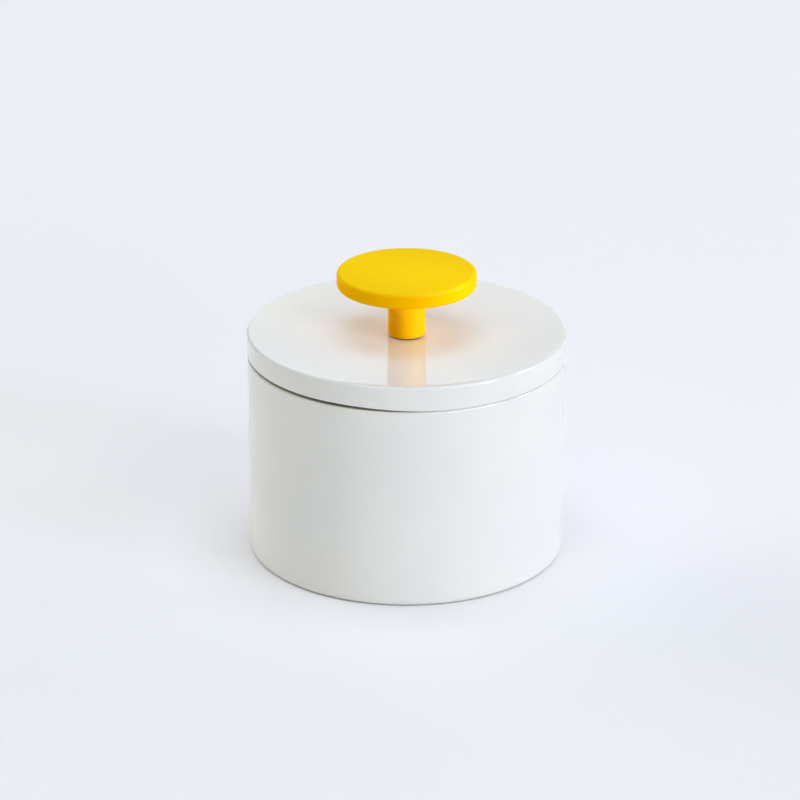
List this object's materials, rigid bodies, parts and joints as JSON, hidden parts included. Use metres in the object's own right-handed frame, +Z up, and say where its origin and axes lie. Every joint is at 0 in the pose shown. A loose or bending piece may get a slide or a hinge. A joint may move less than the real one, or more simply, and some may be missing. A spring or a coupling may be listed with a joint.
{
  "type": "lidded box",
  "caption": "Round straight-sided box of white glazed porcelain, with a flush lid that lifts off by a flat yellow knob on a short stem.",
  "frame": {"origin": "centre of the foot's resting plane", "axes": "+Z up along the axis that every piece is turned about; -Y is the side seen in the picture"},
  "size_m": [0.103, 0.103, 0.0943],
  "materials": {
    "porcelain": "gloss",
    "silicone": "satin",
    "yellow_enamel": "gloss",
    "black_rubber": "matte",
    "nylon": "matte",
    "steel": "satin"
  },
  "bodies": {
    "pot": {"pot": "porcelain"},
    "seal": {"lid_seal": "silicone"},
    "lid": {"lid": "porcelain", "knob_disc": "yellow_enamel", "knob_stem": "yellow_enamel", "stem_washer": "black_rubber", "screw_bush": "nylon", "screw_washer": "steel", "knob_screw": "steel"}
  },
  "joints": [
    {"name": "lid_lift", "type": "slide", "parent": "pot", "child": "seal", "axis": [0, 0, 1], "range_m": [0, 0.08]},
    {"name": "lid_turn", "type": "hinge", "parent": "seal", "child": "lid", "pos_m": [0, 0, 0.06675], "axis": [0, 0, 1], "continuous": true}
  ]
}
